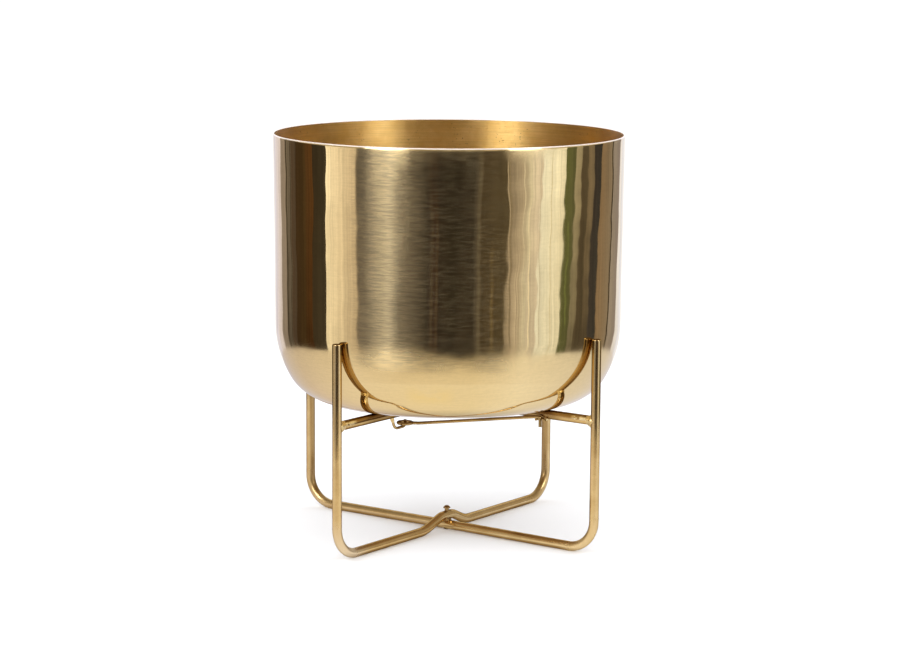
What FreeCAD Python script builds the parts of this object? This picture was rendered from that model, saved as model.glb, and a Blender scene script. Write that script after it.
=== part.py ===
import FreeCAD, Part

import math
import os

# Brass planter pot on a folding stand. Millimetres, +Z up.
# The origin is on the floor, on the vertical fold axis through the middle of the stand.
# Frame B lies in the XZ plane and frame A, which folds, in the YZ plane.

V = FreeCAD.Vector
UP = V(0, 0, 1)
ORIGIN = V(0, 0, 0)

# ---- driving dimensions -------------------------------------------------------------------

rod_d = 8.0                 # solid round rod of both frames
leg_offset = 154.0          # fold axis to the centreline of each leg
leg_top_z = 184.3
leg_end_round = 0.8
corner_bend_r = 25.0        # centreline radius of the four bottom corners
crossbar_z = 115.0          # centreline of both crossbars

hump_half = 8.0             # half the level stretch on top of the hump in frame A
hump_foot_front = 33.0      # fold axis to the foot of the hump, towards the front leg
hump_foot_rear = 27.0
hump_foot_r = 40.0
hump_top_r = 16.0
bar_rise = 0.5              # how far the middle of frame B's bottom bar stands off the floor
bar_rise_r = 6000.0

dip_half = 8.0              # half the level stretch of the dip in crossbar B
dip_foot = 33.0
dip_foot_r = 25.0
dip_bottom_r = 16.0

shank_r = 1.9               # both pivot rivets
hole_clearance = 0.05       # radial, where frame A turns on a rivet
turn_gap = 0.1              # between faces that turn on each other
seat_depth = 0.5            # flats pressed into the rods where they cross
seat_r = 4.6
hump_seat_depth = 1.8       # the deeper flat under frame A's hump
hump_seat_r = 6.5
washer_r = 4.1
lower_washer_t = 2.3
upper_washer_t = 1.0
head_r = 3.1
head_rim_t = 0.5
head_dome_h = 2.0
head_neck_h = 2.8           # shank showing between frame A and the lower rivet's head
peened_r = 2.6
lower_peened_t = 0.8
upper_peened_t = 0.9
flush_head_r = 3.0
flush_head_t = 0.9
flush_seat_depth = 1.0

rim_r = 151.0
wall_lean = math.radians(0.55)
wall_t = 1.2
pot_height = 229.0
base_bend_r = 40.0          # tight lower part of the rounded bottom edge
base_bend_turn = math.radians(60.0)
side_bend_r = 92.0          # gentle upper part
rest_gap = 0.3              # between the pot and what it rests on

wire_d = 2.8                # latch rod
eye_mean_r = 5.9            # ring eye of the latch rod
hanger_d = 2.4
hanger_tip_y = -61.0        # the eye turns on this upright tip
hanger_root_y = -80.5
hanger_corner_y = -75.5     # the wire turns in under the eye here
hanger_corner_z = 101.3
hanger_corner_r = 6.0
hanger_tip_foot_z = 101.6
hanger_tip_z = 107.3
eye_z = 104.4
eye_neck = 12.0             # eye centre to where the latch rod starts to rise
peg_x = 102.0
peg_y = -6.0
peg_top_z = 113.6
peg_bottom_z = 104.6
peg_bend_r = 2.6
keeper_d = 2.2
keeper_mean_r = 4.1
keeper_z = 110.6
keeper_arm_y = -6.6         # where the two arms of the keeper end

collar_root_r = 6.0         # braze collar against the leg
collar_tip_r = 4.5
collar_reach = 7.5          # along the crossbar from the leg's centreline
bead_r = 2.3                # braze beads of the latch parts
bead_reach = 6.5

rod_r = rod_d / 2
floor_bar_z = rod_r

# ---- levels at the two pivots, from the floor up ------------------------------------------

bar_b_mid_z = floor_bar_z + bar_rise
lower_peened_seat_z = bar_b_mid_z - rod_r + seat_depth
lower_washer_z = bar_b_mid_z + rod_r - seat_depth
bar_a_low_seat_z = lower_washer_z + lower_washer_t + turn_gap
bar_a_mid_z = bar_a_low_seat_z + rod_r - hump_seat_depth
bar_a_top_seat_z = bar_a_mid_z + rod_r - seat_depth
head_z = bar_a_top_seat_z + head_neck_h

crossbar_a_low_seat_z = crossbar_z - rod_r + seat_depth
crossbar_a_top_seat_z = crossbar_z + rod_r - flush_seat_depth
upper_washer_z = crossbar_a_low_seat_z - turn_gap - upper_washer_t
crossbar_b_mid_z = upper_washer_z - rod_r + seat_depth
upper_peened_seat_z = crossbar_b_mid_z - rod_r + seat_depth

pot_bottom_z = crossbar_z + rod_r + rest_gap
pot_top_z = pot_bottom_z + pot_height

os.makedirs("parts", exist_ok=True)


# ---- helpers ------------------------------------------------------------------------------

def rounded_path(points, radii):
    """A wire of straight runs joined by tangent arcs; one radius for each inner point."""
    edges = []
    start = points[0]
    for before, corner, after, radius in zip(points, points[1:], points[2:], radii):
        into = (corner - before).normalize()
        out = (after - corner).normalize()
        turn = into.getAngle(out)
        run = radius * math.tan(turn / 2)
        arc_in = corner - into * run
        arc_out = corner + out * run
        inward = (out - into).normalize()
        centre = corner + inward * (radius / math.cos(turn / 2))
        arc_mid = centre - inward * radius
        edges.append(Part.LineSegment(start, arc_in).toShape())
        edges.append(Part.Arc(arc_in, arc_mid, arc_out).toShape())
        start = arc_out
    edges.append(Part.LineSegment(start, points[-1]).toShape())
    return Part.Wire(edges)


def bent_rod(points, radii, diameter):
    """A round rod bent along a rounded path."""
    path = rounded_path(points, radii)
    heading = points[1] - points[0]
    section = Part.Wire(Part.makeCircle(diameter / 2, points[0], heading))
    return path.makePipeShell([section], True, False)


def turned(points):
    """A solid of revolution about the Z axis, from the corners of its half section."""
    outline = Part.makePolygon(points + [points[0]])
    return Part.Face(outline).revolve(ORIGIN, UP, 360)


def upright(radius, low_z, high_z, x=0.0, y=0.0):
    """A cylinder along Z between two heights."""
    return Part.makeCylinder(radius, high_z - low_z, V(x, y, low_z), UP)


def washer(low_z, thickness):
    """A pivot washer that rests at low_z."""
    disc = upright(washer_r, low_z, low_z + thickness)
    return disc.cut(upright(shank_r, low_z - 1, low_z + thickness + 1))


def in_frame_a(shape):
    """Turn a shape drawn in the XZ plane so that its +X side points to frame A's front leg."""
    return shape.copy().rotate(ORIGIN, UP, -90)


def soften_leg_ends(bow):
    """Round the rim of the two cut rod ends."""
    rims = [edge for edge in bow.Edges
            if abs(edge.BoundBox.ZMin - leg_top_z) < 0.01 and edge.BoundBox.ZLength < 0.01]
    return bow.makeFillet(leg_end_round, rims)


def save(shape, node):
    """Write one named sub-part."""
    shape.exportStep("parts/" + node + ".step")


# ---- frame bows: two legs and a bottom bar bent from one rod -------------------------------

def bow_points(middle, corner_z=floor_bar_z):
    """Leg top, corner, the middle stretch, corner, leg top."""
    left = [V(-leg_offset, 0, leg_top_z), V(-leg_offset, 0, corner_z)]
    right = [V(leg_offset, 0, corner_z), V(leg_offset, 0, leg_top_z)]
    return left + middle + right


def frame_b_bow():
    """The lower bow. Its bottom bar rises slightly, so that the rivet's end clears the floor."""
    corner_drop = bar_rise * corner_bend_r / (leg_offset - corner_bend_r)
    points = bow_points([V(0, 0, bar_b_mid_z)], floor_bar_z - corner_drop)
    bow = soften_leg_ends(bent_rod(points, [corner_bend_r, bar_rise_r, corner_bend_r], rod_d))
    bow = bow.cut(upright(seat_r, lower_washer_z, lower_washer_z + rod_r))
    bow = bow.cut(upright(seat_r, lower_peened_seat_z - rod_r, lower_peened_seat_z))
    return bow.cut(upright(shank_r, 0, bar_b_mid_z + rod_d))


def frame_a_bow():
    """The upper bow. Its bottom bar humps over frame B's bar at the pivot."""
    middle = [V(-hump_foot_rear, 0, floor_bar_z), V(-hump_half, 0, bar_a_mid_z),
              V(hump_half, 0, bar_a_mid_z), V(hump_foot_front, 0, floor_bar_z)]
    bends = [corner_bend_r, hump_foot_r * hump_foot_rear / hump_foot_front, hump_top_r,
             hump_top_r, hump_foot_r, corner_bend_r]
    bow = soften_leg_ends(bent_rod(bow_points(middle), bends, rod_d))
    bow = bow.cut(upright(seat_r, bar_a_top_seat_z, bar_a_top_seat_z + rod_r))
    bow = bow.cut(upright(hump_seat_r, bar_a_low_seat_z - rod_r, bar_a_low_seat_z))
    bow = bow.cut(upright(shank_r + hole_clearance, 0, bar_a_mid_z + rod_d))
    return in_frame_a(bow)


# ---- crossbars: the pot rests on them ------------------------------------------------------

def coped(bar):
    """Hollow both ends of a crossbar to fit the legs."""
    for side in (-1, 1):
        bar = bar.cut(upright(rod_r, 0, leg_top_z, x=side * leg_offset))
    return bar


def crossbar_a():
    """The straight upper crossbar, turning on the upper rivet."""
    bar = coped(bent_rod([V(-leg_offset, 0, crossbar_z), V(leg_offset, 0, crossbar_z)], [], rod_d))
    bar = bar.cut(upright(seat_r, crossbar_a_top_seat_z, crossbar_a_top_seat_z + rod_r))
    bar = bar.cut(upright(seat_r, crossbar_a_low_seat_z - rod_r, crossbar_a_low_seat_z))
    bar = bar.cut(upright(shank_r + hole_clearance, crossbar_z - rod_d, crossbar_z + rod_d))
    return in_frame_a(bar)


def crossbar_b():
    """The lower crossbar, dipping under crossbar A at the fold axis."""
    points = [V(-leg_offset, 0, crossbar_z), V(-dip_foot, 0, crossbar_z),
              V(-dip_half, 0, crossbar_b_mid_z), V(dip_half, 0, crossbar_b_mid_z),
              V(dip_foot, 0, crossbar_z), V(leg_offset, 0, crossbar_z)]
    bends = [dip_foot_r, dip_bottom_r, dip_bottom_r, dip_foot_r]
    bar = coped(bent_rod(points, bends, rod_d))
    bar = bar.cut(upright(seat_r, upper_washer_z, upper_washer_z + rod_r))
    bar = bar.cut(upright(seat_r, upper_peened_seat_z - rod_r, upper_peened_seat_z))
    return bar.cut(upright(shank_r, crossbar_b_mid_z - rod_d, crossbar_b_mid_z + rod_d))


def braze_collars():
    """The braze round both ends of a crossbar, against the legs."""
    solids = []
    for side in (-1, 1):
        along = V(-side, 0, 0)
        root = V(side * leg_offset, 0, crossbar_z)
        collar = Part.makeCone(collar_root_r, collar_tip_r, collar_reach, root, along)
        collar = collar.cut(Part.makeCylinder(rod_r, collar_reach + 1, root, along))
        collar = collar.cut(upright(rod_r, 0, leg_top_z, x=side * leg_offset))
        inward = Part.makeBox(collar_reach, rod_d * 2, rod_d * 2)
        inward.translate(V(-collar_reach if side > 0 else 0, -rod_d, -rod_d) + root)
        solids.append(collar.common(inward).Solids[0])
    return Part.makeCompound(solids)


# ---- pivots --------------------------------------------------------------------------------

def lower_rivet():
    """The visible pivot rivet: domed head, long shank, peened end under frame B."""
    low_z = lower_peened_seat_z - lower_peened_t
    shank = turned([V(0, 0, low_z), V(peened_r * 0.8, 0, low_z),
                    V(peened_r, 0, low_z + lower_peened_t / 2),
                    V(peened_r, 0, lower_peened_seat_z), V(shank_r, 0, lower_peened_seat_z),
                    V(shank_r, 0, head_z + head_rim_t), V(0, 0, head_z + head_rim_t)])
    rim = upright(head_r, head_z, head_z + head_rim_t)
    dome_r = (head_r ** 2 + head_dome_h ** 2) / (2 * head_dome_h)
    dome_centre = V(0, 0, head_z + head_rim_t + head_dome_h - dome_r)
    dome = Part.makeSphere(dome_r, dome_centre)
    dome = dome.common(upright(head_r, head_z + head_rim_t, head_z + rod_d))
    return shank.fuse([rim, dome]).removeSplitter()


def upper_rivet():
    """The hidden pivot rivet: flush head under the pot, peened end under crossbar B."""
    low_z = upper_peened_seat_z - upper_peened_t
    head_low_z = crossbar_a_top_seat_z + turn_gap
    head_top_z = crossbar_a_top_seat_z + flush_head_t
    return turned([V(0, 0, low_z), V(peened_r * 0.8, 0, low_z),
                   V(peened_r, 0, low_z + upper_peened_t / 2),
                   V(peened_r, 0, upper_peened_seat_z), V(shank_r, 0, upper_peened_seat_z),
                   V(shank_r, 0, head_low_z), V(flush_head_r, 0, head_low_z),
                   V(flush_head_r, 0, head_top_z), V(0, 0, head_top_z)])


# ---- latch: a wire rod that ties the open frames together ----------------------------------

def latch_rod():
    """Ring eye on the hanger, rising rod, peg down through the keeper."""
    eye_centre = V(0, hanger_tip_y, eye_z)
    reach = V(peg_x, peg_y - hanger_tip_y, 0)
    heading = V(reach.x, reach.y, 0).normalize()
    eye = Part.makeTorus(eye_mean_r, wire_d / 2, eye_centre, UP)
    path = [eye_centre + heading * eye_mean_r, eye_centre + heading * eye_neck,
            V(peg_x, peg_y, peg_top_z), V(peg_x, peg_y, peg_bottom_z)]
    rod = bent_rod(path, [eye_neck, peg_bend_r], wire_d)
    return eye.fuse(rod).removeSplitter()


def hanger_outer_leg():
    """The two ends of the outer leg, inside crossbar A and at the corner under it."""
    return V(0, hanger_root_y, crossbar_z - rod_r + hanger_d), V(0, hanger_corner_y, hanger_corner_z)


def rod_hanger():
    """A wire hook under crossbar A; the eye hangs on it and its tip is free."""
    root, corner = hanger_outer_leg()
    path = [root, corner, V(0, hanger_tip_y, hanger_tip_foot_z), V(0, hanger_tip_y, hanger_tip_z)]
    hook = bent_rod(path, [hanger_corner_r, hanger_d * 1.2], hanger_d)
    return hook.cut(frame_a_bar_blank())


def frame_a_bar_blank():
    """Crossbar A as a plain rod, to trim what is brazed to it."""
    return Part.makeCylinder(rod_r, 2 * leg_offset, V(0, -leg_offset, crossbar_z), V(0, 1, 0))


def frame_b_bar_blank():
    """Crossbar B near the keeper as a plain rod, to trim what is brazed to it."""
    return Part.makeCylinder(rod_r, 4 * keeper_mean_r,
                             V(peg_x - 2 * keeper_mean_r, 0, crossbar_z), V(1, 0, 0))


def rod_keeper():
    """A U of wire under crossbar B, open on the side where the peg comes out."""
    left = V(peg_x - keeper_mean_r, keeper_arm_y, keeper_z)
    right = V(peg_x + keeper_mean_r, keeper_arm_y, keeper_z)
    left_bend = V(left.x, peg_y, keeper_z)
    right_bend = V(right.x, peg_y, keeper_z)
    back = V(peg_x, peg_y + keeper_mean_r, keeper_z)
    path = Part.Wire([Part.LineSegment(left, left_bend).toShape(),
                      Part.Arc(left_bend, back, right_bend).toShape(),
                      Part.LineSegment(right_bend, right).toShape()])
    section = Part.Wire(Part.makeCircle(keeper_d / 2, left, V(0, 1, 0)))
    return path.makePipeShell([section], True, False).cut(frame_b_bar_blank())


def hanger_braze():
    """The collar of braze where the hanger meets crossbar A."""
    root, corner = hanger_outer_leg()
    along = corner - root
    collar = Part.makeCone(bead_r, hanger_d * 0.55, bead_reach, root, along)
    collar = collar.cut(Part.makeCylinder(hanger_d / 2, bead_reach * 2, root, along))
    return collar.cut(frame_a_bar_blank())


def keeper_braze(keeper):
    """The beads where the keeper meets crossbar B."""
    beads = []
    for side in (-1, 1):
        centre = V(peg_x + side * keeper_mean_r * 0.75, peg_y + keeper_mean_r, keeper_z + 0.9)
        beads.append(Part.makeSphere(bead_r * 0.8, centre))
    joined = beads[0].fuse(beads[1])
    return joined.cut([frame_b_bar_blank(), keeper]).Solids


# ---- pot -----------------------------------------------------------------------------------

def pot_half_section(inset, low_z, high_z):
    """Edges of the pot's wall from the axis to the rim, inset from the outside."""
    wall_slope = math.pi / 2 - wall_lean
    rise = base_bend_r * (1 - math.cos(base_bend_turn))
    rise += side_bend_r * (math.cos(base_bend_turn) - math.cos(wall_slope))
    run = base_bend_r * math.sin(base_bend_turn)
    run += side_bend_r * (math.sin(wall_slope) - math.sin(base_bend_turn))
    flat_r = rim_r - (pot_height - rise) * math.tan(wall_lean) - run

    def on_arc(centre, radius, slope):
        return centre + V(math.sin(slope), 0, -math.cos(slope)) * radius

    base_centre = V(flat_r, 0, pot_bottom_z + base_bend_r)
    side_centre = on_arc(base_centre, base_bend_r - side_bend_r, base_bend_turn)
    base = [on_arc(base_centre, base_bend_r - inset, slope)
            for slope in (0, base_bend_turn / 2, base_bend_turn)]
    side = [on_arc(side_centre, side_bend_r - inset, slope)
            for slope in (base_bend_turn, (base_bend_turn + wall_slope) / 2, wall_slope)]
    rim = side[2] + V(math.tan(wall_lean), 0, 1) * (high_z - side[2].z)
    edges = [Part.LineSegment(V(0, 0, low_z), base[0]).toShape(),
             Part.Arc(*base).toShape(), Part.Arc(*side).toShape(),
             Part.LineSegment(side[2], rim).toShape()]
    return edges, rim


def pot_shell():
    """The spun pot: flat bottom, rounded lower edge, slightly flared wall, rounded rim."""
    rim_z = pot_top_z - wall_t / 2
    outside, outer_rim = pot_half_section(0, pot_bottom_z, rim_z)
    inside, inner_rim = pot_half_section(wall_t, pot_bottom_z + wall_t, rim_z)
    crown = (outer_rim + inner_rim) * 0.5 + V(0, 0, wall_t / 2)
    lip = Part.Arc(outer_rim, crown, inner_rim).toShape()
    centre = Part.LineSegment(V(0, 0, pot_bottom_z), V(0, 0, pot_bottom_z + wall_t)).toShape()
    outline = Part.Wire(Part.__sortEdges__(outside + [lip] + inside + [centre]))
    return Part.Face(outline).revolve(ORIGIN, UP, 360)


# ---- write every sub-part ------------------------------------------------------------------

save(pot_shell(), "pot_shell")
save(frame_a_bow(), "frame_a_bow")
save(crossbar_a(), "frame_a_crossbar")
save(in_frame_a(braze_collars()), "frame_a_braze")
save(frame_b_bow(), "frame_b_bow")
save(crossbar_b(), "frame_b_crossbar")
save(braze_collars(), "frame_b_braze")
save(lower_rivet(), "lower_pivot_rivet")
save(washer(lower_washer_z, lower_washer_t), "lower_pivot_washer")
save(upper_rivet(), "upper_pivot_rivet")
save(washer(upper_washer_z, upper_washer_t), "upper_pivot_washer")
save(latch_rod(), "latch_rod")
save(rod_hanger(), "rod_hanger")
save(hanger_braze(), "hanger_braze")
keeper = rod_keeper()
save(keeper, "rod_keeper")
save(Part.makeCompound(keeper_braze(keeper)), "keeper_braze")
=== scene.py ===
import math

import bpy
from mathutils import Matrix, Vector, noise


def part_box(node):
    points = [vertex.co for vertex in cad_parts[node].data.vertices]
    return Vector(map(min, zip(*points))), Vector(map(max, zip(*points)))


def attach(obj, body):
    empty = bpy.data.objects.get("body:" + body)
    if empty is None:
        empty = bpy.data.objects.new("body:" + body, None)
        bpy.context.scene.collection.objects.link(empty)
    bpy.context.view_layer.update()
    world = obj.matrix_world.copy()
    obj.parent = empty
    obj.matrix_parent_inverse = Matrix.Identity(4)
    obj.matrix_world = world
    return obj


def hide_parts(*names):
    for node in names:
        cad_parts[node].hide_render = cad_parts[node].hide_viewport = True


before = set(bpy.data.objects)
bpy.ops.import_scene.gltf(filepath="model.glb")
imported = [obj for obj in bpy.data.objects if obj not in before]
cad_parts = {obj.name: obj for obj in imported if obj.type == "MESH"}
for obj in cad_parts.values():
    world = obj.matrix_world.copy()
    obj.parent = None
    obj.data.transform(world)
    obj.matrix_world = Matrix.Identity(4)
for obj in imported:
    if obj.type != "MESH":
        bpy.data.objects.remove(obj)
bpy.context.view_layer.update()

# A polished brass planter pot on a folding rod stand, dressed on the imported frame.
# Metres, in the frame of the part: the origin is on the floor on the fold axis, +Z up.

# ---- sizes repeated from the part ----------------------------------------------------------

rim_r = 0.151
wall_lean = math.radians(0.55)
wall_t = 0.0012
base_bend_r = 0.040
base_bend_turn = math.radians(60)
side_bend_r = 0.092
rod_r = 0.004

rolled_h = 0.0024            # polishing has rolled the outer rim edge in over this height
rolled_off = 0.0003          # and by this much

pot_low, pot_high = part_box("pot_shell")
pot_bottom_z = pot_low.z
pot_top_z = pot_high.z
crossbar_low, crossbar_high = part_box("frame_a_crossbar")
leg_offset = crossbar_high.y             # a crossbar ends on the axes of its legs
crossbar_z = (crossbar_low.z + crossbar_high.z) / 2


# ---- the view ------------------------------------------------------------------------------

camera_azimuth = math.radians(36.25)     # 0 looks along +Y
camera_distance = 2.273                  # level distance from the fold axis
camera_height = 0.539
camera_pitch = math.radians(9.05)
camera_pan = math.radians(0.046)         # how far the lens axis passes beside the fold axis
camera_roll = math.radians(0.37)
camera_lens = 106.0
camera_reach = 100


def bearing(heading):
    """An angle about Z from a heading in degrees: 0 is the side of the pot that the camera sees,
    and a heading is positive to the camera's right."""
    return camera_azimuth - math.pi / 2 + math.radians(heading)


def on_ring(heading, radius, height):
    """A point at a heading, a distance from the fold axis and a height."""
    angle = bearing(heading)
    return (math.cos(angle) * radius, math.sin(angle) * radius, height)


# ---- number helpers ------------------------------------------------------------------------

def clamped(value, low=0.0, high=1.0):
    """A number kept between two limits."""
    return min(high, max(low, value))


def mixed_number(first, second, share):
    """A number part of the way from one to another."""
    return first + (second - first) * share


def mixed(first, second, share):
    """A colour part of the way from one to another."""
    return tuple(mixed_number(a, b, share) for a, b in zip(first, second))


# ---- node helpers --------------------------------------------------------------------------

def new_material(name):
    """A material with a Principled shader; returns it with its node tree and shader."""
    material = bpy.data.materials.new(name)
    material.use_nodes = True
    tree = material.node_tree
    return material, tree, tree.nodes["Principled BSDF"]


def add(tree, kind, **settings):
    """A node with its properties set."""
    node = tree.nodes.new(kind)
    for key, value in settings.items():
        setattr(node, key, value)
    return node


def place(tree, stretch):
    """Object coordinates, stretched along each axis."""
    coords = add(tree, "ShaderNodeTexCoord")
    mapping = add(tree, "ShaderNodeMapping")
    mapping.inputs["Scale"].default_value = stretch
    tree.links.new(coords.outputs["Object"], mapping.inputs["Vector"])
    return mapping.outputs["Vector"]


def grain(tree, stretch, detail=3.0, roughness=0.5):
    """A noise value over the surface, with features of 1 / stretch metres."""
    texture = add(tree, "ShaderNodeTexNoise")
    texture.inputs["Scale"].default_value = 1.0
    texture.inputs["Detail"].default_value = detail
    texture.inputs["Roughness"].default_value = roughness
    tree.links.new(place(tree, stretch), texture.inputs["Vector"])
    return texture.outputs["Fac"]


def remap(tree, value, low, high, out_low, out_high):
    """A value brought from one range to another and clamped."""
    node = add(tree, "ShaderNodeMapRange")
    node.inputs["From Min"].default_value = low
    node.inputs["From Max"].default_value = high
    node.inputs["To Min"].default_value = out_low
    node.inputs["To Max"].default_value = out_high
    tree.links.new(value, node.inputs["Value"])
    return node.outputs["Result"]


def combine(tree, kind, first, second):
    """Two values, each linked or fixed, through one math operation."""
    node = add(tree, "ShaderNodeMath", operation=kind)
    for socket, value in zip(node.inputs, (first, second)):
        if isinstance(value, (int, float)):
            socket.default_value = value
        else:
            tree.links.new(value, socket)
    return node.outputs["Value"]


def product(tree, first, *others):
    """Values multiplied together."""
    for value in others:
        first = combine(tree, "MULTIPLY", first, value)
    return first


def total(tree, first, *others):
    """Values added together."""
    for value in others:
        first = combine(tree, "ADD", first, value)
    return first


def blend_colour(tree, factor, first, second):
    """A colour between two, by a factor."""
    node = add(tree, "ShaderNodeMix", data_type="RGBA")
    tree.links.new(factor, node.inputs["Factor"])
    for socket, value in ((node.inputs["A"], first), (node.inputs["B"], second)):
        if isinstance(value, tuple):
            socket.default_value = (*value, 1.0)
        else:
            tree.links.new(value, socket)
    return node.outputs["Result"]


def bump(tree, shader, height, distance, strength=1.0, under=None):
    """Relief on a shader's normal; under is an earlier bump."""
    node = add(tree, "ShaderNodeBump")
    node.inputs["Strength"].default_value = strength
    node.inputs["Distance"].default_value = distance
    tree.links.new(height, node.inputs["Height"])
    if under is not None:
        tree.links.new(under, node.inputs["Normal"])
    tree.links.new(node.outputs["Normal"], shader.inputs["Normal"])
    return node.outputs["Normal"]


def dot_product(tree, first, second):
    """The dot product of a linked vector and one that is linked or fixed."""
    node = add(tree, "ShaderNodeVectorMath", operation="DOT_PRODUCT")
    tree.links.new(first, node.inputs[0])
    if isinstance(second, tuple):
        node.inputs[1].default_value = second
    else:
        tree.links.new(second, node.inputs[1])
    return node.outputs["Value"]


# ---- places on the object: each function after the first gives a value from 0 to 1 ----------

def from_axis(tree, kind, output):
    """The level step from the fold axis: its LENGTH as Value, or its direction, from NORMALIZE."""
    node = add(tree, "ShaderNodeVectorMath", operation=kind)
    tree.links.new(place(tree, (1, 1, 0)), node.inputs[0])
    return node.outputs[output]


def facing(tree, heading, full, gone):
    """1 within one angle of a heading about the fold axis and 0 beyond another, in degrees."""
    towards = dot_product(tree, from_axis(tree, "NORMALIZE", "Vector"), on_ring(heading, 1.0, 0.0))
    return remap(tree, towards, math.cos(math.radians(gone)), math.cos(math.radians(full)),
                 0.0, 1.0)


def facing_in(tree, full, gone):
    """1 where the surface faces the fold axis and 0 where it faces away.

    The limits are the part of its normal that points away from the axis, from -1 to 1.
    """
    normal = add(tree, "ShaderNodeNewGeometry").outputs["Normal"]
    return remap(tree, dot_product(tree, normal, from_axis(tree, "NORMALIZE", "Vector")),
                 full, gone, 1.0, 0.0)


def beyond(tree, near, far):
    """0 up to one distance from the fold axis and 1 past another."""
    return remap(tree, from_axis(tree, "LENGTH", "Value"), near, far, 0.0, 1.0)


def above(tree, low, high):
    """0 below one height of the object and 1 above another."""
    coords = add(tree, "ShaderNodeTexCoord")
    split = add(tree, "ShaderNodeSeparateXYZ")
    tree.links.new(coords.outputs["Object"], split.inputs["Vector"])
    return remap(tree, split.outputs["Z"], low, high, 0.0, 1.0)


def below(tree, low, high):
    """1 below one height of the object and 0 above another."""
    return combine(tree, "SUBTRACT", 1.0, above(tree, low, high))


def band(tree, rise, fall):
    """1 between two heights, coming in over the first pair and going out over the second."""
    return combine(tree, "SUBTRACT", above(tree, *rise), above(tree, *fall))


# ---- materials -----------------------------------------------------------------------------

def around_axis(tree, shader, amount):
    """Stretch highlights across the turning lines, which run round the Z axis."""
    tangent = add(tree, "ShaderNodeTangent", direction_type="RADIAL", axis="Z")
    tree.links.new(tangent.outputs["Tangent"], shader.inputs["Tangent"])
    shader.inputs["Anisotropic"].default_value = amount
    shader.inputs["Anisotropic Rotation"].default_value = 0.25


def polished_brass():
    """The outside of the pot: mirror polish with a brushed stretch in front, faint tarnish, a
    painted highlight on the rim and painted shade on the underside.
    """
    material, tree, shader = new_material("pot_polished_brass")
    around_axis(tree, shader, 0.9)
    clouds = grain(tree, (16, 16, 16), 4.0)
    ragged = remap(tree, grain(tree, (30, 30, 12), 4.0), 0.3, 0.7, 0.6, 1.3)
    streaks = grain(tree, (85, 85, 880), 4.0, 0.58)
    fine_lines = grain(tree, (80, 80, 680), 4.0, 0.6)
    wall = product(tree, above(tree, 0.164, 0.172), ragged)
    front = product(tree, facing(tree, -6, 20, 27), wall)
    left = product(tree, facing(tree, -18, 8, 15), wall)
    edge = above(tree, pot_top_z - 0.0012, pot_top_z - 0.0006)

    # roughness: mirror haze, more of it under the rim, on the brushed left and round the foot of
    # the wall
    haze = remap(tree, clouds, 0.35, 0.7, 0.032, 0.055)
    rim_haze = product(tree, above(tree, 0.330, 0.346), facing(tree, -4, 8, 18),
                       remap(tree, clouds, 0.35, 0.6, 0.3, 1.0))
    rim_haze_right = product(tree, above(tree, 0.334, 0.3465), facing(tree, 26, 5, 14))
    brushed = total(tree, product(tree, total(tree, rim_haze, rim_haze_right), 0.17),
                    product(tree, left, 0.10))
    brushed = product(tree, brushed, remap(tree, streaks, 0.3, 0.7, 0.8, 1.25))
    hem = product(tree, combine(tree, "MAXIMUM", facing(tree, -1, 26, 36), 0.3),
                  band(tree, (0.158, 0.166), (0.172, 0.189)), ragged, 0.24)
    tree.links.new(total(tree, haze, total(tree, brushed, hem)), shader.inputs["Roughness"])

    # a thin veil of scattered light along the brushing lines, and a worn edge that scatters most
    veil = product(tree, front, remap(tree, fine_lines, 0.42, 0.60, 0.0, 0.026))
    veil = total(tree, veil, product(tree, edge, 0.55))
    tree.links.new(combine(tree, "SUBTRACT", 1.0, veil), shader.inputs["Metallic"])

    # colour: soft clouds, dark brushing lines, a yellower patch low on the front, and a flat
    # underside painted dark brown, partly as unpolished metal and partly as painted shade
    metal = blend_colour(tree, clouds, (0.88, 0.70, 0.385), (0.84, 0.655, 0.345))
    strength = total(tree, product(tree, front, 0.42), product(tree, left, 0.30), 0.10)
    lines = product(tree, remap(tree, streaks, 0.40, 0.62, 0.0, 1.0), strength)
    peel = remap(tree, grain(tree, (330, 330, 330), 3.0), 0.38, 0.62, 0.0, 0.07)
    metal = blend_colour(tree, total(tree, lines, peel), metal, (0.56, 0.45, 0.26))
    yellower_patch = product(tree, facing(tree, -6, 3, 9), band(tree, (0.134, 0.142), (0.146, 0.154)),
                    remap(tree, grain(tree, (60, 60, 90), 4.0), 0.35, 0.55, 0.05, 0.85))
    metal = blend_colour(tree, yellower_patch, metal, (0.87, 0.66, 0.30))
    # the flat underside painted dark brown: partly unpolished metal, partly painted shade from the
    # floor beneath
    metal = blend_colour(tree, above(tree, 0.1196, 0.1206), (0.38, 0.25, 0.12), metal)
    # the lip painted pale pink-white: a painted highlight for the bright line along the rim
    metal = blend_colour(tree, edge, metal, (0.97, 0.86, 0.78))
    tree.links.new(metal, shader.inputs["Base Color"])

    scratch_height = product(tree, total(tree, front, left), streaks)
    bump(tree, shader, scratch_height, 0.00002)
    return material


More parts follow.
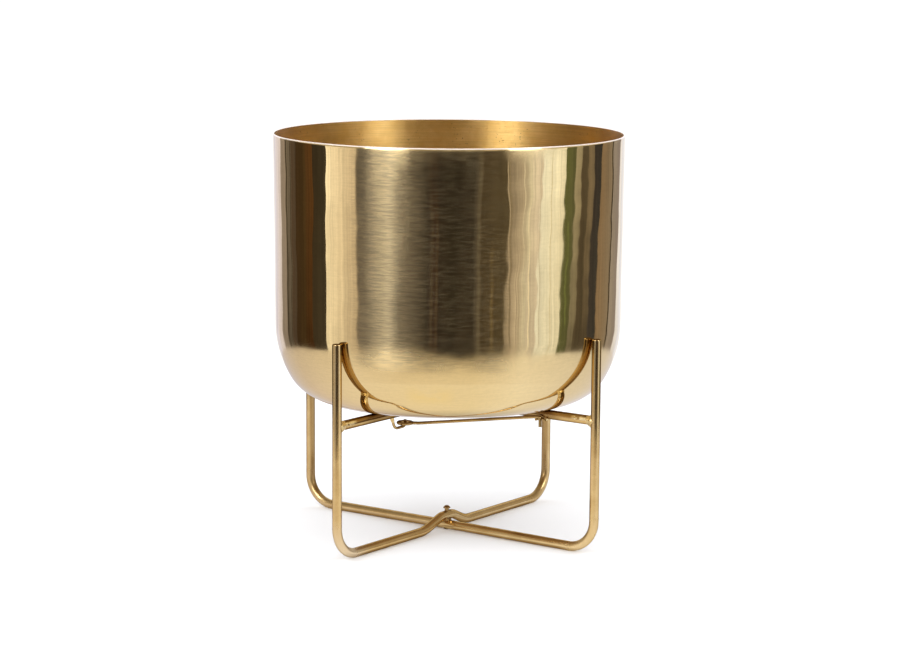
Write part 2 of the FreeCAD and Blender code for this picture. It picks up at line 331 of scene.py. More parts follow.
def satin_inside():
    """The inside of the pot: unpolished spun metal with turning lines and small pits."""
    material, tree, shader = new_material("pot_inside_brass")
    shader.inputs["Metallic"].default_value = 1.0
    around_axis(tree, shader, 0.8)
    clouds = remap(tree, grain(tree, (40, 40, 40), 5.0, 0.65), 0.35, 0.65, 0.0, 1.0)
    metal = blend_colour(tree, clouds, (0.89, 0.62, 0.245), (0.77, 0.49, 0.155))
    turning = grain(tree, (14, 14, 700), 4.0, 0.7)
    metal = blend_colour(tree, remap(tree, turning, 0.42, 0.62, 0.0, 0.35), metal,
                         (0.55, 0.36, 0.12))
    specks = product(tree, remap(tree, grain(tree, (480, 480, 480), 1.0), 0.68, 0.72, 0, 1),
                     remap(tree, grain(tree, (30, 30, 30), 2.0), 0.5, 0.6, 0.0, 0.7))
    metal = blend_colour(tree, specks, metal, (0.22, 0.13, 0.05))
    # browner away from the middle of the far wall: painted shade towards the ends of the inside
    painted_light = remap(tree, facing(tree, 185, 38, 56), 0.0, 1.0, 0.55, 1.0)
    tree.links.new(blend_colour(tree, painted_light, (0.34, 0.20, 0.07), metal),
                   shader.inputs["Base Color"])
    tree.links.new(remap(tree, turning, 0.3, 0.7, 0.3, 0.42), shader.inputs["Roughness"])
    pits = remap(tree, grain(tree, (900, 900, 900), 2.0), 0.58, 0.7, 1.0, 0.0)
    under = bump(tree, shader, turning, 0.00008)
    bump(tree, shader, pits, 0.0001, 0.5, under)
    return material


def leg_wear_and_painted_light(tree, metal):
    """Painted light and scuffs on a bent frame: returns its colour and what they add to its
    roughness.
    """
    # painted shade along the inner side, wider where the leg stands beside the pot
    painted_shade = combine(tree, "MAXIMUM",
                   product(tree, facing_in(tree, -0.4, 0.2), above(tree, 0.098, 0.112)),
                   product(tree, facing_in(tree, -0.72, -0.3), 0.85))
    metal = blend_colour(tree, painted_shade, metal, (0.40, 0.26, 0.11))
    # the foot at the camera's left is painted paler than the rest: a painted highlight
    painted_light = product(tree, facing(tree, -36, 8, 20), below(tree, 0.004, 0.036),
                     beyond(tree, 0.112, 0.134))
    metal = blend_colour(tree, painted_light, metal, (0.86, 0.72, 0.52))
    # the corner bends are scuffed
    bend = product(tree, below(tree, 0.028, 0.042), beyond(tree, 0.112, 0.134))
    return metal, product(tree, bend, 0.16)


def bar_wear_and_painted_shade(tree, metal):
    """Painted shade and braze marks on a crossbar: returns its colour and what they add to its
    roughness.
    """
    # painted shade on top, under the pot, and towards the middle
    painted_shade = combine(tree, "MAXIMUM", above(tree, 0.1145, 0.1170),
                   remap(tree, from_axis(tree, "LENGTH", "Value"), 0.108, 0.126, 0.85, 0.0))
    metal = blend_colour(tree, product(tree, painted_shade, 0.9), metal, (0.27, 0.16, 0.06))
    # braze that ran out along the side of the bar near the legs
    run = product(tree, beyond(tree, 0.131, 0.136), band(tree, (0.1146, 0.1154), (0.1172, 0.1180)),
                  remap(tree, grain(tree, (230, 230, 230), 3.0), 0.38, 0.46, 0.0, 1.0))
    metal = blend_colour(tree, run, metal, (1.0, 0.88, 0.58))
    return metal, product(tree, run, 0.22)


def rod_brass(name, bright, dull, along, wear_and_painted_light=None):
    """Drawn rod: satin brass with draw lines, darker aged stretches and small dings.

    wear_and_painted_light adds a piece's own marks and painted light: leg_wear_and_painted_light
    or bar_wear_and_painted_shade.
    """
    material, tree, shader = new_material(name)
    shader.inputs["Metallic"].default_value = 1.0
    shader.inputs["Specular Tint"].default_value = (0.25, 0.20, 0.15, 1.0)
    ageing = remap(tree, grain(tree, (38, 38, 38), 5.0, 0.65), 0.35, 0.68, 0.0, 1.0)
    metal = blend_colour(tree, ageing, bright, dull)
    lines = grain(tree, along, 3.0, 0.6)
    rough = total(tree, remap(tree, lines, 0.3, 0.7, 0.09, 0.15),
                  remap(tree, ageing, 0.0, 1.0, 0.0, 0.06))
    if wear_and_painted_light is not None:
        metal, rougher = wear_and_painted_light(tree, metal)
        rough = total(tree, rough, rougher)
    tree.links.new(metal, shader.inputs["Base Color"])
    tree.links.new(rough, shader.inputs["Roughness"])
    under = bump(tree, shader, lines, 0.00001)
    dings = grain(tree, (260, 260, 260), 3.0)
    bump(tree, shader, dings, 0.00003, 0.5, under)
    return material


def braze_metal():
    """Braze: bright, lumpy and patchy."""
    material, tree, shader = new_material("braze_metal")
    shader.inputs["Metallic"].default_value = 1.0
    patches = grain(tree, (420, 420, 420), 4.0, 0.6)
    tree.links.new(blend_colour(tree, patches, (0.96, 0.80, 0.45), (0.70, 0.48, 0.19)),
                   shader.inputs["Base Color"])
    tree.links.new(remap(tree, patches, 0.3, 0.7, 0.22, 0.45), shader.inputs["Roughness"])
    bump(tree, shader, patches, 0.0003)
    return material


pot_outside = polished_brass()
pot_inside = satin_inside()
rod_metal = rod_brass("rod_satin_brass", (0.84, 0.63, 0.33), (0.70, 0.49, 0.22),
                      (500, 500, 60), leg_wear_and_painted_light)
bar_metal = rod_brass("crossbar_satin_brass", (0.82, 0.58, 0.27), (0.58, 0.38, 0.15),
                      (300, 300, 500), bar_wear_and_painted_shade)
# a darker copy of the rod brass: painted shade on the latch, hanger and keeper wire under the pot
wire_metal_painted_shade = rod_brass("wire_satin_brass", (0.66, 0.47, 0.22), (0.36, 0.24, 0.10),
                       (700, 700, 700))
rivet_metal = rod_brass("rivet_brass", (0.46, 0.30, 0.13), (0.26, 0.16, 0.07), (900, 900, 900))
braze = braze_metal()


# ---- mesh helpers --------------------------------------------------------------------------

def add_object(name, mesh, body, materials):
    """Put a mesh in the scene on a body, with its materials."""
    piece = bpy.data.objects.new(name, mesh)
    bpy.context.scene.collection.objects.link(piece)
    for material in materials:
        mesh.materials.append(material)
    if body is not None:
        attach(piece, body)
    return piece


def lathe(name, section, segments, wobble):
    """A surface turned about the Z axis.

    section has rows of (radius, height, material index), and wobble moves a point by its place
    and its angle.
    """
    mesh = bpy.data.meshes.new(name)
    points = []
    faces = []
    tones = []
    for radius, height, _ in section:
        for step in range(segments):
            angle = 2 * math.pi * step / segments
            spot = Vector((math.cos(angle), math.sin(angle), 0)) * radius + Vector((0, 0, height))
            points.append(spot + wobble(spot, angle))
    for ring in range(len(section) - 1):
        for step in range(segments):
            after = (step + 1) % segments
            low, high = ring * segments, (ring + 1) * segments
            faces.append((low + step, low + after, high + after, high + step))
            tones.append(section[ring][2])
    mesh.from_pydata(points, [], faces)
    mesh.polygons.foreach_set("material_index", tones)
    mesh.polygons.foreach_set("use_smooth", [True] * len(faces))
    mesh.update()
    return mesh


# ---- pot -----------------------------------------------------------------------------------

floor_shares = (0.0005, 0.2, 0.4, 0.6, 0.8, 0.9, 0.96)
base_steps = 40
side_steps = 24
wall_steps = 160
wall_crowding = 1.6          # how much closer the steps lie towards the rim
lip_steps = 10
steps_round_pot = 480


def pot_section():
    """The pot's outline from the middle of the outside floor, over the rim, to the inside."""
    wall_slope = math.pi / 2 - wall_lean
    rise = base_bend_r * (1 - math.cos(base_bend_turn))
    rise += side_bend_r * (math.cos(base_bend_turn) - math.cos(wall_slope))
    run = base_bend_r * math.sin(base_bend_turn)
    run += side_bend_r * (math.sin(wall_slope) - math.sin(base_bend_turn))
    flat_r = rim_r - (pot_top_z - pot_bottom_z - rise) * math.tan(wall_lean) - run
    base_centre = (flat_r, pot_bottom_z + base_bend_r)
    shift = base_bend_r - side_bend_r
    side_centre = (base_centre[0] + math.sin(base_bend_turn) * shift,
                   base_centre[1] - math.cos(base_bend_turn) * shift)

    def skin(inset, material):
        """One side of the sheet: 0 outside, which alone is rolled at the rim, and 1 inside."""
        rows = [(flat_r * share, pot_bottom_z + inset, material) for share in floor_shares]
        for step in range(base_steps):
            slope = base_bend_turn * step / base_steps
            rows.append((base_centre[0] + math.sin(slope) * (base_bend_r - inset),
                         base_centre[1] - math.cos(slope) * (base_bend_r - inset), material))
        for step in range(side_steps):
            slope = base_bend_turn + (wall_slope - base_bend_turn) * step / side_steps
            rows.append((side_centre[0] + math.sin(slope) * (side_bend_r - inset),
                         side_centre[1] - math.cos(slope) * (side_bend_r - inset), material))
        foot_z = side_centre[1] - math.cos(wall_slope) * (side_bend_r - inset)
        foot_r = side_centre[0] + math.sin(wall_slope) * (side_bend_r - inset)
        top_z = pot_top_z - wall_t / 2
        for step in range(wall_steps + 1):
            risen = 1 - (1 - step / wall_steps) ** wall_crowding
            height = foot_z + (top_z - foot_z) * risen
            flare = (height - foot_z) * math.tan(wall_lean)
            polish = max(0.0, height - top_z + rolled_h) ** 2 / rolled_h ** 2 * rolled_off
            rows.append((foot_r + flare - polish * (1 - material), height, material))
        return rows

    outside = skin(0, 0)
    inside = skin(wall_t, 1)
    middle_r = (outside[-1][0] + inside[-1][0]) / 2
    lip = []
    for step in range(1, lip_steps):
        angle = math.pi * step / lip_steps
        lip.append((middle_r + math.cos(angle) * wall_t / 2,
                    pot_top_z - wall_t / 2 + math.sin(angle) * wall_t / 2, 0))
    return outside + lip + inside[::-1]


# waves left by polishing: how fine they are round and up the wall, where in the noise, how deep
polish_waves = (
    (16, 14, (0, 0, 0), 0.00027),
    (34, 38, (5, 1, 3), 0.00014),
    (60, 85, (2, 9, 4), 0.00003),
)
flat_until = 0.01            # the underside is flat, and the waves grow to full depth above it
full_after = 0.05


def hand_finish(spot, angle):
    """The slight waviness that polishing leaves in the wall, in and out along the radius."""
    outward = Vector((math.cos(angle), math.sin(angle), 0))
    share = clamped((spot.z - pot_bottom_z - flat_until) / full_after)
    wave = 0.0
    for level, upright, offset, depth in polish_waves:
        probe = Vector((spot.x * level, spot.y * level, spot.z * upright)) + Vector(offset)
        wave += noise.noise(probe) * depth
    return outward * wave * share


pot_mesh = lathe("pot_body", pot_section(), steps_round_pot, hand_finish)
pot = add_object("pot_body", pot_mesh, "pot", [pot_outside, pot_inside])
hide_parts("pot_shell")


# ---- stand: the frame's own pieces with better metal ---------------------------------------

def dress(node, material):
    """Give a carried-over piece its metal."""
    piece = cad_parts[node]
    piece.data.materials.clear()
    piece.data.materials.append(material)


stand_metals = (
    (rod_metal, ("frame_a_bow", "frame_b_bow")),
    (bar_metal, ("frame_a_crossbar", "frame_b_crossbar")),
    (wire_metal_painted_shade, ("latch_rod", "rod_hanger", "rod_keeper")),
    (rivet_metal, ("lower_pivot_rivet", "lower_pivot_washer",
                   "upper_pivot_rivet", "upper_pivot_washer")),
    (braze, ("hanger_braze", "keeper_braze")),
)
for metal, nodes in stand_metals:
    for node in nodes:
        dress(node, metal)


# ---- braze at the four crossbar ends --------------------------------------------------------

fillet_steps = 40            # round the bar
fillet_rings = 20            # along the bar, from the leg
fillet_reach = 0.0082        # how far it runs along the bar, and how much that varies
fillet_reach_change = 0.0026
fillet_thick = 0.0015        # how thick it is at the leg
fillet_sag = 0.0009          # thicker by this below the bar, and thinner above
fillet_thick_change = 0.0008
fillet_lump = 0.0003
fillet_thin = 0.00002        # the least that it stands out from the bar
root_r = 0.0037              # its radius where it lies on the leg, which is no wider than the bar
root_sunk = 0.0002


def braze_fillet(end, across, seed):
    """Points and faces of one lumpy fillet between a leg and the end of its crossbar."""
    points = []
    faces = []
    for ring in range(fillet_rings + 1):
        share = ring / fillet_rings
        for step in range(fillet_steps):
            angle = 2 * math.pi * step / fillet_steps
            probe = Vector((math.cos(angle), math.sin(angle), 0)) * 1.3 + Vector((seed, 0, 0))
            reach = fillet_reach + fillet_reach_change * noise.noise(probe * 1.4)
            thick = fillet_thick - fillet_sag * math.cos(angle)
            thick += fillet_thick_change * noise.noise(probe * 2.1)
            lumps = noise.noise(Vector((probe.x * 3, probe.y * 3, share * 5)))
            swell = thick * (1 - share) ** 1.8 + fillet_lump * lumps * math.sin(math.pi * share)
            radius = rod_r + max(fillet_thin, swell) * (1 - share ** 8)
            side = math.sin(angle) * mixed_number(root_r, radius, min(1.0, share * 2.5))
            root = math.sqrt(max(0.0, rod_r ** 2 - side ** 2)) - root_sunk
            level = end * (leg_offset - mixed_number(root, reach, share))
            height = crossbar_z + math.cos(angle) * radius
            points.append(across @ Vector((level, side, height)))
    for ring in range(fillet_rings):
        for step in range(fillet_steps):
            after = (step + 1) % fillet_steps
            low, high = ring * fillet_steps, (ring + 1) * fillet_steps
            face = (low + step, low + after, high + after, high + step)
            faces.append(face if end < 0 else face[::-1])
    return points, faces


def braze_pair(name, node, body, turn, seed):
    """The fillets at both ends of one crossbar; turn is the angle from the X axis to the bar."""
    points = []
    faces = []
    for end in (-1, 1):
        more, patches = braze_fillet(end, Matrix.Rotation(turn, 4, "Z"), seed + end)
        faces += [tuple(corner + len(points) for corner in patch) for patch in patches]
        points += more
    mesh = bpy.data.meshes.new(name)
    mesh.from_pydata(points, [], faces)
    mesh.polygons.foreach_set("use_smooth", [True] * len(faces))
    piece = add_object(name, mesh, body, [braze])
    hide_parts(node)


braze_pair("frame_a_braze_fillets", "frame_a_braze", "frame_a", -math.pi / 2, 3.0)
braze_pair("frame_b_braze_fillets", "frame_b_braze", "frame_b", 0.0, 11.0)


# ---- camera --------------------------------------------------------------------------------

camera_data = bpy.data.cameras.new("camera")
camera_data.lens = camera_lens
camera_data.clip_end = camera_reach
camera = bpy.data.objects.new("camera", camera_data)
bpy.context.scene.collection.objects.link(camera)
camera.matrix_world = (
    Matrix.Translation((math.sin(camera_azimuth) * camera_distance,
                        -math.cos(camera_azimuth) * camera_distance, camera_height))
    @ Matrix.Rotation(camera_azimuth - camera_pan, 4, "Z")
    @ Matrix.Rotation(math.pi / 2 - camera_pitch, 4, "X")
    @ Matrix.Rotation(camera_roll, 4, "Z")
)
bpy.context.scene.camera = camera
bpy.context.scene.view_settings.view_transform = "Standard"


# ---- studio --------------------------------------------------------------------------------

def emission(name, colour, strength):
    """A plain glowing material for a card."""
    material = bpy.data.materials.new(name)
    material.use_nodes = True
    tree = material.node_tree
    tree.nodes.clear()
    glow = add(tree, "ShaderNodeEmission")
    glow.inputs["Color"].default_value = (*colour, 1.0)
    glow.inputs["Strength"].default_value = strength
    out = add(tree, "ShaderNodeOutputMaterial")
    tree.links.new(glow.outputs["Emission"], out.inputs["Surface"])
    return material


def glow_node(material):
    """The emission node of a glowing material."""
    return next(node for node in material.node_tree.nodes if node.type == "EMISSION")


def mirrored_only(card):
    """Keep a card out of everything but reflections."""
    card.visible_camera = False
    card.visible_diffuse = False
    card.visible_shadow = False


def floor_material():
    """Plain pale paper."""
    material, _, shader = new_material("floor_paper")
    shader.inputs["Base Color"].default_value = (0.875, 0.887, 0.915, 1)
    shader.inputs["Roughness"].default_value = 0.9
    shader.inputs["Specular IOR Level"].default_value = 0.1
    return material


def flat_floor(radius, sides):
    """The floor, which the metal doesn't mirror: near_floor and surround stand in for it."""
    mesh = bpy.data.meshes.new("floor")
    corners = []
    for step in range(sides):
        angle = 2 * math.pi * step / sides
        corners.append((math.cos(angle) * radius, math.sin(angle) * radius, 0.0))
    mesh.from_pydata(corners, [], [tuple(range(sides))])
    floor = add_object("floor", mesh, None, [floor_material()])
    floor.visible_glossy = False


flat_floor(radius=40.0, sides=96)

# The floor near the stand as the metal mirrors it: heading in degrees, the light close to the pot
# and the light further out, where the table falls into shade.
floor_sectors = [
    (-150, (0.70, 0.68, 0.78), (0.66, 0.62, 0.68)),
    (-110, (0.74, 0.67, 0.68), (0.70, 0.64, 0.62)),
    (-60, (0.91, 0.86, 0.82), (0.86, 0.80, 0.74)),
    (-25, (0.95, 0.89, 0.80), (0.76, 0.67, 0.54)),
    (15, (0.95, 0.90, 0.81), (0.75, 0.66, 0.51)),
    (45, (1.00, 0.98, 0.97), (0.92, 0.88, 0.84)),
    (85, (0.86, 0.84, 0.86), (0.82, 0.80, 0.80)),
    (150, (0.80, 0.80, 0.90), (0.78, 0.76, 0.84)),
]
shade_begins_r = 0.275
shade_full_r = 0.44
table_end_r = 0.58           # in front
table_side_reach = 0.095     # how much further the table reaches at the sides
table_front_half = 35        # the front ends at this heading, and the sides begin further round
table_turn = 45

# rings of the near floor: radius, share of the light further out, how much the pot leaves of it
floor_rings = (
    (0.001, 0.0, 0.55),
    (0.05, 0.0, 0.7),
    (0.11, 0.0, 0.97),
    (0.15, 0.0, 1.0),
    (shade_begins_r, 0.0, 1.0),
    (shade_begins_r + 0.008, 0.35, 1.0),
    (shade_full_r, 0.8, 1.0),
)
near_floor_z = -0.0002       # both lie just under the floor, which the metal doesn't mirror
bar_shade_z = -0.0001
sector_step = 2              # degrees


def sector_tones(heading):
    """The light of the floor in one direction: near the pot and further out."""
    loop = [(floor_sectors[-1][0] - 360, *floor_sectors[-1][1:])] + floor_sectors
    loop.append((floor_sectors[0][0] + 360, *floor_sectors[0][1:]))
    for low, high in zip(loop, loop[1:]):
        if low[0] <= heading <= high[0]:
            share = (heading - low[0]) / (high[0] - low[0])
            return mixed(low[1], high[1], share), mixed(low[2], high[2], share)


def tone_card(name, points, faces, tones):
    """A glowing mesh with a colour at each point, seen only in reflections.

    Returns its material.
    """
    mesh = bpy.data.meshes.new(name)
    mesh.from_pydata(points, [], faces)
    layer = mesh.color_attributes.new("tone", "FLOAT_COLOR", "POINT")
    for entry, tone in zip(layer.data, tones):
        entry.color = (*tone, 1.0)
    material = emission(name + "_glow", (1.0, 1.0, 1.0), 1.0)
    tone_node = add(material.node_tree, "ShaderNodeAttribute", attribute_name="tone")
    material.node_tree.links.new(tone_node.outputs["Color"], glow_node(material).inputs["Color"])
    mirrored_only(add_object(name, mesh, None, [material]))
    return material


def near_floor():
    """The table top that the pot and the rods mirror."""
    points = []
    tones = []
    faces = []
    row = len(floor_rings) + 1
    for step in range(360 // sector_step + 1):
        heading = -180 + step * sector_step
        near, far = sector_tones(heading)
        sideways = clamped((abs(heading) - table_front_half) / table_turn)
        last = (table_end_r + table_side_reach * sideways, 1.0, 1.0)
        for radius, share, light in (*floor_rings, last):
            points.append(on_ring(heading, radius, near_floor_z))
            tones.append(tuple(part * light for part in mixed(near, far, share)))
        if step:
            for ring in range(row - 1):
                corner = step * row + ring
                faces.append((corner - row, corner - row + 1, corner + 1, corner))
    tone_card("near_floor", points, faces, tones)


def contact_shade():
    """The dark line on the table under each bottom bar, as the bars mirror it."""
    shade = (0.38, 0.31, 0.24)
    # both ways from the middle of a bar: how far, and the share of the lit floor there
    across = ((-0.011, 1.0), (-0.005, 0.0), (0.005, 0.0), (0.011, 1.0))
    along = ((0.006, 0.0), (0.120, 0.0), (0.146, 1.0))
    first_bar = 90 - math.degrees(camera_azimuth)
    points = []
    faces = []
    tones = []
    for quarter in range(4):
        turn = Matrix.Rotation(math.pi / 2 * quarter, 4, "Z")
        heading = (quarter * 90 + first_bar + 180) % 360 - 180
        lit = sector_tones(heading)[0]
        for row, (distance, fade) in enumerate(along):
            for column, (offset, share) in enumerate(across):
                points.append(turn @ Vector((distance, offset, bar_shade_z)))
                tones.append(mixed(shade, lit, max(share, fade)))
                if row and column:
                    last = len(points) - 1
                    before = last - len(across)
                    faces.append((before - 1, before, last, last - 1))
    tone_card("contact_shade", points, faces, tones)


near_floor()
contact_shade()

# What the polished metal mirrors: upright panels on a ring round the object. Each has the heading
# where it begins, the light that it gives at its two edges, and how many times as much it gives
# at its foot.
white = (1.0, 1.0, 1.0)
surround_panels = [
    ("backdrop_far_left", -180, white, white, 1.0),
    ("backdrop_left", -165, (0.86, 0.86, 1.05), (0.83, 0.80, 0.98), 0.95),
    ("stand_edge", -142.5, (0.38, 0.34, 0.34), (0.32, 0.28, 0.28), 0.8),
    ("grey_stand", -133, (0.17, 0.15, 0.14), (0.19, 0.17, 0.16), 0.6),
    ("stand_shade", -124.5, (0.11, 0.08, 0.065), (0.09, 0.07, 0.06), 0.8),
    ("dark_door", -118.5, (0.055, 0.035, 0.02), (0.07, 0.045, 0.022), 0.9),
    ("wood_panel", -107, (0.09, 0.05, 0.024), (0.125, 0.06, 0.024), 0.55),
    ("dark_wall_left", -99.5, (0.045, 0.035, 0.025), (0.055, 0.048, 0.038), 1.15),
    ("left_softbox", -87, (1.18, 1.13, 1.07), (0.71, 0.62, 0.55), 0.84),
    ("shelf", -61.5, (0.105, 0.095, 0.095), (0.13, 0.12, 0.12), 2.1),
    ("pale_wall", -54, (0.30, 0.28, 0.28), (0.69, 0.67, 0.67), 0.74),
    ("pale_wall_end", -40.5, (0.84, 0.82, 0.84), (0.24, 0.23, 0.24), 0.60),
    ("room_left", -31, (0.18, 0.165, 0.165), (0.042, 0.036, 0.030), 1.1),
    ("camera_side", -14, (0.034, 0.027, 0.024), (0.027, 0.023, 0.019), 1.25),
    ("camera_right", 5, (0.032, 0.027, 0.023), (0.040, 0.034, 0.028), 1.25),
    ("cable", 17, (0.072, 0.062, 0.054), (0.080, 0.070, 0.060), 1.1),
    ("cable_lit", 19.2, (0.120, 0.106, 0.090), (0.130, 0.115, 0.096), 1.1),
    ("room_right", 21.5, (0.074, 0.058, 0.040), (0.100, 0.084, 0.060), 1.05),
    ("grey_curtain", 38.3, (0.26, 0.225, 0.205), (0.48, 0.44, 0.42), 1.3),
    ("curtain_fold", 46.5, (0.52, 0.475, 0.45), (0.85, 0.85, 0.84), 0.85),
    ("curtain_light", 52.5, (0.84, 0.82, 0.84), (0.81, 0.77, 0.82), 0.75),
    ("right_softbox", 60.5, (1.08, 1.16, 1.28), (1.00, 1.02, 1.02), 0.84),
    ("leaves", 79.5, (0.13, 0.15, 0.07), (0.12, 0.13, 0.075), 0.9),
    ("window_edge", 88, (0.46, 0.43, 0.36), (0.36, 0.33, 0.27), 0.45),
    ("brown_wall", 93.5, (0.11, 0.09, 0.07), (0.105, 0.09, 0.07), 0.8),
    ("door_edge", 99.5, (0.23, 0.19, 0.15), (0.20, 0.17, 0.14), 0.45),
    ("dark_frame", 106, (0.05, 0.045, 0.05), (0.045, 0.045, 0.05), 1.3),
    ("right_wall", 114.5, (0.27, 0.20, 0.15), (0.27, 0.23, 0.20), 1.05),
    ("wall_joint", 131, (0.05, 0.04, 0.03), (0.05, 0.04, 0.03), 1.0),
    ("right_wall_end", 133, (0.36, 0.33, 0.34), (0.28, 0.25, 0.26), 1.0),
    ("backdrop_right", 147.5, (0.90, 0.92, 1.08), (0.94, 0.98, 1.15), 0.97),
    ("backdrop_far_right", 165, white, white, 1.0),
]

# Narrow things in front of the panels: heading and width in degrees, from how low to how high, and
# the light they give.
surround_strips = [
    ("door_line", -131.5, 1.3, -16, 3, (0.05, 0.04, 0.03)),
    ("door_gap", -125.5, 1.0, -16, 3, (0.07, 0.055, 0.045)),
    ("chair_leg", -9.4, 5.2, -16, -3.2, (0.045, 0.030, 0.022)),
    ("chair_leg_left_edge", -11.3, 1.1, -16, -3.1, (0.095, 0.074, 0.058)),
    ("chair_leg_right_edge", -7.6, 0.9, -16, -3.4, (0.092, 0.066, 0.050)),
    ("brass_lamp_foot", 29.0, 1.5, -5.4, -4.4, (0.20, 0.155, 0.09)),
    ("curtain_edge", 38.4, 0.7, -16, 3, (0.44, 0.39, 0.35)),
    ("curtain_pleat_dark", 39.5, 0.8, -16, 3, (0.29, 0.25, 0.21)),
    ("curtain_pleat_light", 43.6, 0.6, -16, 3, (0.45, 0.41, 0.39)),
    ("curtain_pleat_thin", 45.6, 0.5, -16, -3.9, (0.46, 0.42, 0.39)),
    ("curtain_pleat_pale", 49.2, 0.6, -4.4, 3, (0.74, 0.70, 0.68)),
    ("curtain_cord", 51.8, 1.0, -16, -3.5, (1.0, 0.96, 0.92)),
    ("curtain_hem", 55.6, 0.6, -16, 3, (0.66, 0.64, 0.66)),
    ("softbox_rim", 60.4, 0.5, -16, 3, (0.70, 0.68, 0.70)),
    ("softbox_seam", 69.0, 0.5, -16, 3, (0.72, 0.68, 0.60)),
    ("leaf_gap", 83.5, 1.4, -4.6, -3.6, (0.17, 0.21, 0.09)),
]
surround_r = 30.0
surround_low = -16.0
surround_high = 3.0
foot_z = -5.2                # the lowest and highest that the wall of the pot mirrors
head_z = -3.0
strip_r = 29.0
strip_order = 0.5            # a narrow strip stands before a broad one, by this over its width
panel_step = 2               # degrees

# The room on the right leans as the pot mirrors it. These are all in degrees.
lean_begins = 14
lean_full_after = 34
lean_ends = 150
lean = 2.8                   # at the foot and at the head, in opposite directions


def leaning(heading, height):
    """A heading on a panel or strip, shifted by how much the room leans there."""
    if heading >= lean_ends:
        return heading
    reach = clamped((heading - lean_begins) / lean_full_after)
    rise = clamped(2 * (height - foot_z) / (head_z - foot_z) - 1, -1.0, 1.0)
    return heading + lean * reach * rise


def surround():
    """The ring of panels and the strips before it, seen only in reflections."""
    points = []
    faces = []
    tones = []
    ends = [panel[1] for panel in surround_panels[1:]] + [180]
    for (_, start, first, last, foot), end in zip(surround_panels, ends):
        columns = max(1, round((end - start) / panel_step))
        rows = ((surround_low, foot), (foot_z, foot), (head_z, 1.0), (surround_high, 1.0))
        for column in range(columns + 1):
            share = column / columns
            tone = mixed(first, last, share)
            for height, gain in rows:
                spot = leaning(mixed_number(start, end, share), height)
                points.append(on_ring(spot, surround_r, height))
                tones.append(tuple(part * gain for part in tone))
            if column:
                for row in range(len(rows) - 1):
                    corner = len(points) - 2 * len(rows) + row
                    faces.append((corner, corner + len(rows), corner + len(rows) + 1, corner + 1))
    for _, heading, width, low, high, tone in surround_strips:
        corner = len(points)
        for side, height in ((-1, low), (1, low), (1, high), (-1, high)):
            spot = leaning(heading + side * width / 2, height)
            points.append(on_ring(spot, strip_r - strip_order / width, height))
            tones.append(tone)
        faces.append((corner, corner + 1, corner + 2, corner + 3))
    uneven_light(tone_card("surround", points, faces, tones))


def uneven_light(material):
    """Folds, stains and shadows over the panels."""
    tree = material.node_tree
    folds = remap(tree, grain(tree, (1.6, 1.6, 0.25), 3.0), 0.3, 0.7, 0.88, 1.12)
    stains = remap(tree, grain(tree, (0.35, 0.35, 0.6), 3.0), 0.3, 0.7, 0.88, 1.12)
    tree.links.new(product(tree, folds, stains), glow_node(material).inputs["Strength"])


surround()

world_light = 1.24


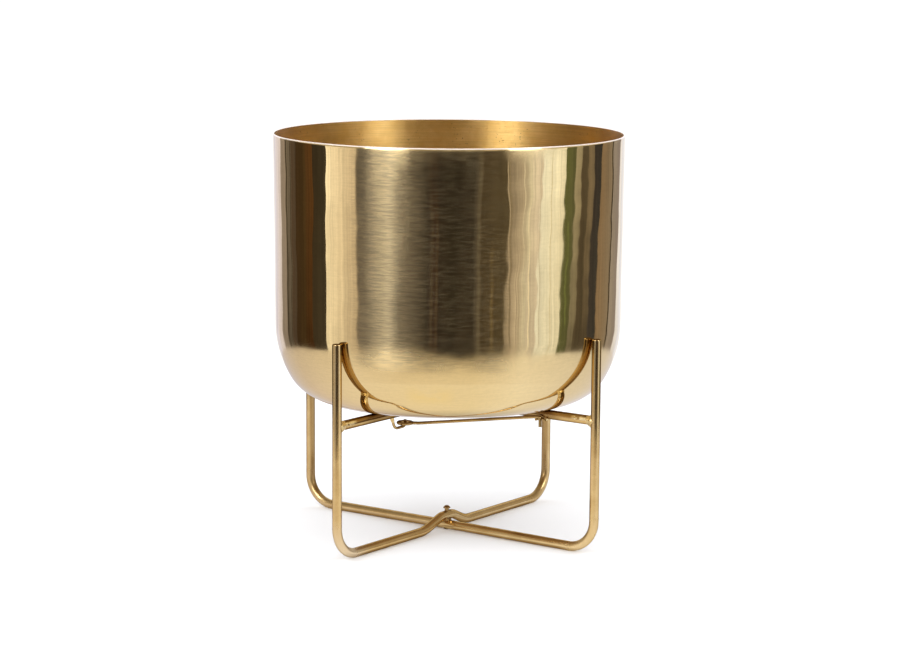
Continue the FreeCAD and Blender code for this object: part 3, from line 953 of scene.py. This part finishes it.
def studio_world():
    """White light all round; the metal mirrors a warm room, dimmer overhead, and a backdrop."""
    world = bpy.data.worlds.new("studio")
    bpy.context.scene.world = world
    world.use_nodes = True
    tree = world.node_tree
    white_air = tree.nodes["Background"]
    white_air.inputs["Color"].default_value = (1, 1, 1, 1)
    white_air.inputs["Strength"].default_value = world_light
    ceiling = add(tree, "ShaderNodeBackground")
    coords = add(tree, "ShaderNodeTexCoord")
    behind = dot_product(tree, coords.outputs["Generated"], on_ring(180, 1.0, 0.0))
    backdrop = remap(tree, behind, 0.55, 0.8, 0.0, 1.0)
    height = add(tree, "ShaderNodeSeparateXYZ")
    tree.links.new(coords.outputs["Generated"], height.inputs["Vector"])
    room = blend_colour(tree, remap(tree, height.outputs["Z"], 0.1, 0.75, 0.0, 1.0),
                        (0.52, 0.455, 0.365), (0.27, 0.23, 0.18))
    tree.links.new(blend_colour(tree, backdrop, room, (0.95, 0.93, 0.95)),
                   ceiling.inputs["Color"])
    path = add(tree, "ShaderNodeLightPath")
    choice = add(tree, "ShaderNodeMixShader")
    tree.links.new(path.outputs["Is Glossy Ray"], choice.inputs["Fac"])
    tree.links.new(white_air.outputs["Background"], choice.inputs[1])
    tree.links.new(ceiling.outputs["Background"], choice.inputs[2])
    out = next(node for node in tree.nodes if node.type == "OUTPUT_WORLD")
    tree.links.new(choice.outputs["Shader"], out.inputs["Surface"])


studio_world()


def reflector(name, heading, distance, low, high, width, strength):
    """A bright upright card that only the metal sees, facing the pot."""
    angle = bearing(heading)
    middle = Vector((math.cos(angle), math.sin(angle), 0)) * distance
    side = Vector((-math.sin(angle), math.cos(angle), 0)) * (width / 2)
    corners = [middle - side, middle + side, middle + side, middle - side]
    heights = (low, low, high, high)
    mesh = bpy.data.meshes.new(name)
    mesh.from_pydata([corner + Vector((0, 0, height))
                      for corner, height in zip(corners, heights)], [], [(0, 1, 2, 3)])
    warm_white = emission(name + "_glow", (1.0, 0.97, 0.92), strength)
    mirrored_only(add_object(name, mesh, None, [warm_white]))


# Heading, distance, from how low to how high, width and strength. The upper cards are mirrored
# mostly by the inside of the pot, and the lower ones by the rim and the legs.
reflector("left_reflector", -42, 2.0, 0.68, 2.1, 0.85, 5.4)
reflector("left_reflector_foot", -37, 2.0, 0.45, 0.68, 0.8, 4.4)
reflector("right_reflector", 49.5, 2.0, 0.68, 2.1, 0.72, 5.6)
reflector("right_reflector_foot", 54, 2.0, 0.43, 0.68, 0.75, 1.4)

lamp_target = Vector((0, 0, 0.15))


def softbox(name, heading, distance, height, size, watts):
    """A large soft lamp aimed at the pot, which the metal doesn't mirror."""
    data = bpy.data.lights.new(name, "AREA")
    data.shape = "RECTANGLE"
    data.size, data.size_y = size
    data.energy = watts
    lamp = bpy.data.objects.new(name, data)
    bpy.context.scene.collection.objects.link(lamp)
    lamp.location = on_ring(heading, distance, height)
    lamp.visible_glossy = False
    aim = lamp_target - lamp.location
    lamp.rotation_euler = aim.to_track_quat("-Z", "Y").to_euler()


softbox("key_lamp", heading=-60, distance=1.6, height=1.7, size=(1.0, 1.0), watts=12)
softbox("fill_lamp", heading=65, distance=1.6, height=1.7, size=(1.0, 1.0), watts=10)
softbox("low_lamp", heading=5, distance=1.9, height=0.75, size=(1.6, 0.5), watts=13)
